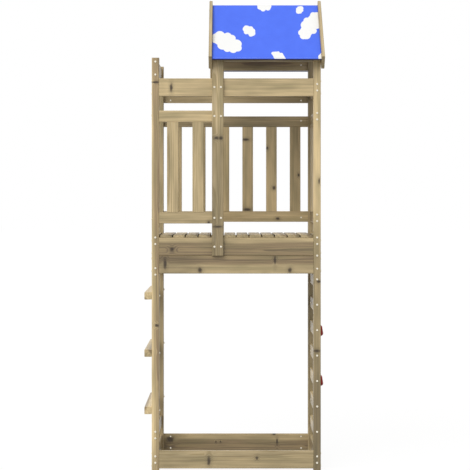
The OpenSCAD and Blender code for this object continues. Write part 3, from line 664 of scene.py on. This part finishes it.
# %% [markdown]
# ## The roof cloth as a surface
#
# Carrying the path across the roof gives the sheet. A simulation could drape it, but a stretched cloth barely
# moves, so a formula for its sag and its soft ripples does as well and never changes.

# %% Surface of the cloth
# Sizes in metres
COLUMNS = 120
BATTEN = 0.048  # width of the eave that lies on the batten
SAG = 0.006
SAG_START = 0.032  # from the ridge to where the cloth leaves the ridge batten
RIPPLE = 0.0011
# Length, drift down the slope in turns, share and phase of each ripple
RIPPLES = [(0.31, 0.4, 1.0, 0.0), (0.13, -0.7, 0.6, 1.1)]
SIDE_SHIFT = 0.2  # so that the two slopes don't ripple alike
RIDGE_DROP = 1.5 * CLOTH


def hang(x, s):
    """Depth below the straight slope: a parabola between the battens times the sag and a sum of sines."""
    u = np.clip((s - SAG_START) / (slope_l - BATTEN - SAG_START), 0, 1)
    ripple = sum(share * np.sin(2 * np.pi * (x / length + drift * u) + phase)
                 for length, drift, share, phase in RIPPLES)
    return 4 * u * (1 - u) * (SAG + RIPPLE * ripple)


def roof_side(side, x):
    """One slope as a grid: the path with its sag, turned to the roof's pitch, for every x."""
    s = np.broadcast_to(along, (len(x), len(along)))
    n = down + hang(side * (x[:, None] + SIDE_SHIFT), s)
    y = side * (s * math.cos(SLOPE) - n * math.sin(SLOPE))
    z = cloth_high.z - s * math.sin(SLOPE) - n * math.cos(SLOPE)
    return np.stack([np.broadcast_to(x[:, None], y.shape), y, z], axis=2)


x_places = np.linspace(cloth_low.x, cloth_high.x, COLUMNS)
ridge_line = np.stack([x_places, 0 * x_places, 0 * x_places + cloth_high.z - RIDGE_DROP], axis=1)[:, None]
cloth = np.concatenate([roof_side(-1, x_places)[:, ::-1], ridge_line, roof_side(1, x_places)], axis=1)
steps = np.linalg.norm(np.diff(cloth[COLUMNS // 2], axis=0), axis=1)
from_hem = np.concatenate([[0], np.cumsum(steps)])
run = from_hem - from_hem[len(along)]

# %% [markdown]
# ## The cloud print
#
# The print is a plain sky with white puffs, drawn out along the slope. Each cloud is a ring of overlapping
# circles round three larger ones in a row. Painting it in the shader would need a node for every circle, and
# a picture file isn't wanted. So each point of the cloth stores its distance to the nearest cloud's edge. The
# shader only asks whether that is above or below zero, which stays sharp between the points.

# %% Clouds
STRETCH = 1.5  # how far the print is drawn out along the slope
# Middle across the roof, run from the ridge with the front below zero, length, height (m), tilt, lobes
CLOUDS = [(-0.048, -0.372, 0.205, 0.124, -0.50, 10), (0.091, -0.256, 0.088, 0.068, -0.70, 7),
          (0.190, -0.012, 0.092, 0.070, 0.0, 7), (0.414, -0.047, 0.060, 0.046, 0.85, 6),
          (0.474, -0.205, 0.210, 0.112, 0.95, 10), (0.268, -0.512, 0.095, 0.055, -0.5, 6),
          (0.545, -0.530, 0.090, 0.070, 0.8, 6), (0.300, 0.170, 0.205, 0.124, -0.5, 10),
          (-0.060, 0.105, 0.092, 0.068, 0.7, 7), (0.060, 0.330, 0.190, 0.116, 0.8, 10),
          (0.430, 0.400, 0.200, 0.118, 0.45, 10), (0.235, 0.465, 0.085, 0.055, -0.4, 6),
          (-0.120, 0.500, 0.110, 0.070, 0.6, 7), (0.500, 0.090, 0.070, 0.050, 0.9, 6)]
BODY = np.array([-0.22, 0.0, 0.22])  # where the three inner circles lie, as shares of a cloud's length
BODY_R = 0.34  # their radius, as a share of the height
LOBE_R = (0.21, 0.04)  # radius of a lobe and how much it varies, as shares of the height
STRAY = 0.22  # how far a lobe strays, as a share of the step between lobes
# Radians from lobe to lobe in the sines that make stray and radius uneven, and from metre to metre of clouds
STRAY_STEP = 2.3
SIZE_STEP = 2.1
CLOUD_STEP = 40


def cloud_edge(x, r):
    """Signed distance to the clouds: the least, over all circles, of distance to the middle less the radius.

    Sines of a lobe's number make its stray and its radius uneven without a random draw.
    """
    nearest = np.full(np.broadcast_shapes(x.shape, r.shape), 1.0)
    for middle_x, middle_r, length, height, tilt, lobes in CLOUDS:
        lobe = np.arange(lobes)
        turn = (lobe + STRAY * np.sin(lobe * STRAY_STEP + lobes)) * 2 * np.pi / lobes
        radius = height * (LOBE_R[0] + LOBE_R[1] * np.cos(lobe * SIZE_STEP + middle_x * CLOUD_STEP))
        a = np.append(np.cos(turn) * (length / 2 - radius), BODY * length)
        b = np.append(np.sin(turn) * (height / 2 - radius), 0 * BODY)
        radii = np.append(radius, BODY_R * height + 0 * BODY)
        lobes_x = middle_x + a * math.cos(tilt) - b * math.sin(tilt)
        lobes_r = middle_r / STRETCH + a * math.sin(tilt) + b * math.cos(tilt)
        away = np.hypot(x[..., None] - lobes_x, r[..., None] / STRETCH - lobes_r) - radii
        nearest = np.minimum(nearest, away.min(axis=-1))
    return nearest


edges = cloud_edge(x_places[:, None], run[None, :])
print(len(CLOUDS), "clouds cover", round(float((edges < 0).mean()), 3), "of the cloth")

# %% [markdown]
# ## The sheet as an object
#
# The grid of points becomes a mesh of four-sided faces, smooth from face to face. A flat map gives every
# point its place in the cloth as it was cut, in metres, for the weave. The thickness comes from a modifier,
# because two skins made by hand would have to be kept in step. The sheet takes the place of the CAD solid.


# %% Roof sheet
def grid_object(name, points):
    """A mesh from a grid of points: each cell of the grid is one face."""
    rows, columns = points.shape[:2]
    index = np.arange(rows * columns).reshape(rows, columns)
    faces = np.stack([index[:-1, :-1], index[1:, :-1], index[1:, 1:], index[:-1, 1:]], axis=-1).reshape(-1, 4)
    mesh = bpy.data.meshes.new(name)
    mesh.from_pydata(points.reshape(-1, 3), [], faces)
    mesh.polygons.foreach_set("use_smooth", np.ones(len(faces), bool))
    piece = bpy.data.objects.new(name, mesh)
    bpy.context.scene.collection.objects.link(piece)
    return piece


def flat_map(mesh, name, flat):
    """A UV map that gives every corner the flat place of its point."""
    corners = np.empty(len(mesh.loops), np.int32)
    mesh.loops.foreach_get("vertex_index", corners)
    mesh.uv_layers.new(name=name).data.foreach_set("uv", flat[corners].ravel())


roof_sheet = grid_object("roof_sheet", cloth)
flat_places = np.stack(np.broadcast_arrays(x_places[:, None], run[None, :]), axis=-1).reshape(-1, 2)
flat_map(roof_sheet.data, "flat", flat_places)
attribute = roof_sheet.data.attributes.new("cloud_edge", "FLOAT", "POINT")
attribute.data.foreach_set("value", edges.astype(np.float32).ravel())
thickness = roof_sheet.modifiers.new("cloth", "SOLIDIFY")
thickness.thickness = CLOTH
thickness.offset = 0
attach(roof_sheet, "root")
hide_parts("roof_cloth")
print("roof sheet of", len(roof_sheet.data.polygons), "faces")

# %% [markdown]
# ## Coated cloth
#
# The cloth is a plain weave of polyester with a thin coat that sheds rain. The coat gives it a low, broad
# gloss, and the threads show through as a fine cross-ripple. True threads are half a millimetre apart; they
# are drawn coarser here so that they show at all. Both eaves are coloured dark navy from the fold to the end
# of the hem: that is painted shade, for the shade under the fold.

# %% Cloth material
THREAD = 2.4  # mm between threads
THREAD_DEPTH = 0.0004  # m, at full strength
THREAD_BUMP = 0.2  # the strength
SKY = ("#3b5fd8", "#436ae4")
SKY_CLOUDING = 14.0  # uneven places of the dye in a metre
CLOUD_WHITE = "#e1e1df"
PRINT_BLUR = 0.0006  # m, half the soft edge of the print
# Painted shade: dark navy on both eaves, from the fold to the end of the hem, for the shade under the fold
PAINTED_HEM_SHADE = "#1c2666"
PAINTED_HEM_SHADE_FROM = slope_l - FOLD_R  # m from the ridge


def coated_cloth():
    """Two sines of the flat place give the weave; the print is white where the distance is below zero."""
    material, tree = new_material("coated_polyester_print")
    flat = add(tree, "UVMap", uv_map="flat").outputs[0]
    turns = vector(tree, "MULTIPLY", flat, (2 * math.pi * MM / THREAD,) * 3)
    waves = add(tree, "SeparateXYZ", {0: vector(tree, "SINE", turns)}).outputs
    weave = number(tree, "MULTIPLY", waves[0], waves[1])
    sky = blend(tree, noise(tree, flat, SKY_CLOUDING, detail=3.0), *SKY)
    edge = add(tree, "Attribute", attribute_name="cloud_edge").outputs["Fac"]
    printed = blend(tree, ramp(tree, edge, PRINT_BLUR, -PRINT_BLUR), sky, CLOUD_WHITE)
    from_ridge = add(tree, "SeparateXYZ", {0: vector(tree, "ABSOLUTE", flat)}).outputs[1]
    # Painted shade from the fold to the end of the hem
    colour = blend(tree, number(tree, "GREATER_THAN", from_ridge, PAINTED_HEM_SHADE_FROM), printed, PAINTED_HEM_SHADE)
    bump = add(tree, "Bump", {"Strength": THREAD_BUMP, "Distance": THREAD_DEPTH, "Height": weave}).outputs[0]
    shader = add(tree, "BsdfPrincipled", {"Base Color": colour, "Roughness": 0.6, "IOR": 1.45, "Normal": bump,
                                          "Sheen Weight": 0.1, "Sheen Roughness": 0.4})
    add(tree, "OutputMaterial", {"Surface": shader.outputs[0]})
    return material


roof_sheet.data.materials.append(coated_cloth())
print("roof sheet material:", roof_sheet.data.materials[0].name)

# %% [markdown]
# ## One stitch
#
# A row of stitches closes each hem just above the batten's edge. One stitch is a short bent thread, fatter in
# the middle and drawn to a point where it goes into the cloth. It could be a curve object with a round bevel.
# A few rings of points and a point at each end are lighter, and they can be copied as an array.

# %% Stitch
# Sizes in metres
STITCH_L = 0.0036
STITCH_R = 0.00055
RINGS = 5
SIDES = 6


def stitch():
    """A thread along x: rings whose radius and height follow half a sine, then the two points at its ends."""
    t = np.linspace(0, 1, RINGS + 2)[1:-1, None]
    around = np.arange(SIDES) * 2 * np.pi / SIDES
    swell = STITCH_R * np.sin(np.pi * t)
    rings = np.broadcast_arrays((t - 0.5) * STITCH_L, swell * np.cos(around), swell * (1 + np.sin(around)))
    ends = np.array([[-STITCH_L / 2, 0, 0], [STITCH_L / 2, 0, 0]])
    return np.concatenate([np.stack(rings, axis=-1).reshape(-1, 3), ends])


print("a stitch has", len(stitch()), "points")

# %% [markdown]
# ## The sewn hems
#
# The stitches could be separate objects, but there are hundreds of them. Here they are copies of one small
# set of points, put side by side by adding two arrays, so that both rows are one light mesh.

# %% Rows of stitches
# Sizes in metres
STITCH_STEP = 0.0052
SEAM_UP = 0.009  # from the eave's edge up the slope


def stitch_faces(starts):
    """Quads between the rings and fans at both points, for every stitch that starts at the numbers given."""
    index = np.arange(RINGS * SIDES).reshape(RINGS, SIDES)
    after = np.roll(index, -1, axis=1)
    quads = np.stack([index[:-1], after[:-1], after[1:], index[1:]], axis=-1).reshape(-1, 4)
    first = np.full(SIDES, RINGS * SIDES)
    fans = np.concatenate([np.stack([first, after[0], index[0]], axis=-1),
                           np.stack([first + 1, index[-1], after[-1]], axis=-1)])
    faces = []
    for part in (quads, fans):
        faces += (part + starts[:, None, None]).reshape(-1, part.shape[1]).tolist()
    return faces


def stitch_rows():
    """Copies of the stitch along both eaves, on the sheet's outer face."""
    places = np.arange(cloth_low.x + STITCH_STEP, cloth_high.x - STITCH_STEP, STITCH_STEP)
    beside = np.stack([places, 0 * places, 0 * places], axis=1)[:, None]
    s = slope_l - SEAM_UP
    rows = []
    for side in (-1, 1):
        seam = np.array([0, side * s * math.cos(SLOPE), cloth_high.z - s * math.sin(SLOPE)])
        axes = np.array([[side, 0, 0], [0, side * math.cos(SLOPE), -math.sin(SLOPE)],
                         [0, side * math.sin(SLOPE), math.cos(SLOPE)]])
        rows.append((stitch() @ axes + seam)[None] + beside)
    return np.concatenate(rows)


threads = stitch_rows()
count, points = threads.shape[:2]
seam_mesh = bpy.data.meshes.new("hem_stitches")
seam_mesh.from_pydata(threads.reshape(-1, 3), [], stitch_faces(np.arange(count) * points))
seam_mesh.polygons.foreach_set("use_smooth", np.ones(len(seam_mesh.polygons), bool))
hem_stitches = bpy.data.objects.new("hem_stitches", seam_mesh)
bpy.context.scene.collection.objects.link(hem_stitches)
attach(hem_stitches, "root")
print(count, "stitches")

# %% [markdown]
# ## Sewing thread
#
# The thread is spun polyester in a pale blue, twisted from several strands. The twist could be modelled as a
# helix, but the whole thread is about a millimetre thick, so a slanted wave between two blues stands for it.

# %% Thread material
THREAD_BLUE = ("#9db0f4", "#c3cdf6")
TWIST_SCALE = 900.0  # waves about 0.7 mm apart


def sewing_thread():
    """Twisted polyester: two pale blues mixed by a slanted wave."""
    material, tree = new_material("twisted_polyester_thread")
    twist = add(tree, "TexWave", {"Vector": object_place(tree), "Scale": TWIST_SCALE, "Distortion": 0.5},
                bands_direction="DIAGONAL").outputs["Fac"]
    colour = blend(tree, twist, *THREAD_BLUE)
    shader = add(tree, "BsdfPrincipled", {"Base Color": colour, "Roughness": 0.55})
    add(tree, "OutputMaterial", {"Surface": shader.outputs[0]})
    return material


seam_mesh.materials.append(sewing_thread())
print("thread material:", seam_mesh.materials[0].name)

# %% [markdown]
# ## Floor
#
# The tower stands on a plain pale floor that the camera sees as white, like a studio sweep. A white floor lit
# by lamps would need exact lamps to look even. Here camera, glossy and transmission rays see mostly plain
# white light with a little of the matt floor and its faint shadow. All other rays see the matt floor, which
# throws light back on the tower.

# %% Floor
FLOOR_SHADOW = 0.16  # share of the matt floor that the camera sees
FLOOR_GREY = "#a4a4a2"
FLOOR_HALF = 60.0  # m
GLOW = 1.12  # strength of the plain light
WHITE = "#ffffff"


def sees_white(tree):
    """One for camera, glossy and transmission rays, and zero for all others."""
    ray = add(tree, "LightPath").outputs
    plain = number(tree, "MAXIMUM", ray["Is Camera Ray"], ray["Is Glossy Ray"])
    return number(tree, "MAXIMUM", plain, ray["Is Transmission Ray"])


def pale_floor():
    """Rays that see white get mostly plain light; all others see a pale grey matt floor."""
    material, tree = new_material("pale_floor")
    share = number(tree, "MULTIPLY", sees_white(tree), 1 - FLOOR_SHADOW)
    matt = add(tree, "BsdfDiffuse", {"Color": linear(FLOOR_GREY)}).outputs[0]
    glow = add(tree, "Emission", {"Color": linear(WHITE), "Strength": GLOW}).outputs[0]
    shader = add(tree, "MixShader", {0: share, 1: matt, 2: glow})
    add(tree, "OutputMaterial", {"Surface": shader.outputs[0]})
    return material


corners = np.array([[-1, -1, 0], [1, -1, 0], [1, 1, 0], [-1, 1, 0]]) * FLOOR_HALF
floor_mesh = bpy.data.meshes.new("floor")
floor_mesh.from_pydata(corners, [], [(0, 1, 2, 3)])
floor_mesh.materials.append(pale_floor())
floor = bpy.data.objects.new("floor", floor_mesh)
bpy.context.scene.collection.objects.link(floor)
print("floor of", 2 * FLOOR_HALF, "m")

# %% [markdown]
# ## Light
#
# A soft sun from the upper left of the front gives the top faces their light and shades the rear guard under
# the roof, and a white world fills in. Area lamps would do as well near the tower, but their light falls off
# with distance, and this tower is tall.

# %% World and sun
WORLD_FILL = 0.66  # strength of the world's light
SUN = 2.35  # strength of the sun
SUN_SPREAD = math.radians(50)
SUN_SIDE = math.radians(36)
SUN_HEIGHT = math.radians(42)
scene = bpy.context.scene

world = bpy.data.worlds.new("studio")
scene.world = world
world.use_nodes = True
sky_tree = world.node_tree
sky_tree.nodes.clear()
strength = ramp(sky_tree, sees_white(sky_tree), 0, 1, WORLD_FILL, 1.0)
light = add(sky_tree, "Background", {"Color": linear(WHITE), "Strength": strength})
add(sky_tree, "OutputWorld", {"Surface": light.outputs[0]})

sun = bpy.data.objects.new("sun", bpy.data.lights.new("sun", "SUN"))
sun.data.energy = SUN
sun.data.angle = SUN_SPREAD
sun.rotation_euler = (QUARTER - SUN_HEIGHT, 0, -SUN_SIDE)
scene.collection.objects.link(sun)
scene.view_settings.view_transform = "Standard"
print("world", WORLD_FILL, "sun", SUN)

# %% [markdown]
# ## Camera
#
# The picture was taken at eye height with a long lens held level, so uprights stay upright. A tilt would make
# them lean together, so a shift of the lens brings the foot of the tower into view.

# %% Camera
EYE = (-0.0294, -8.4114, 1.6770)  # m
SENSOR = 36.0  # mm
LENS = 101.02  # mm
SHIFT = (0.01096, -0.07874)  # shares of the sensor's width
camera = bpy.data.objects.new("camera", bpy.data.cameras.new("camera"))
camera.location = EYE
camera.rotation_euler = (QUARTER, 0, 0)
camera.data.sensor_width = SENSOR
camera.data.lens = LENS
camera.data.shift_x, camera.data.shift_y = SHIFT
scene.collection.objects.link(camera)
scene.camera = camera
print("camera at", EYE)
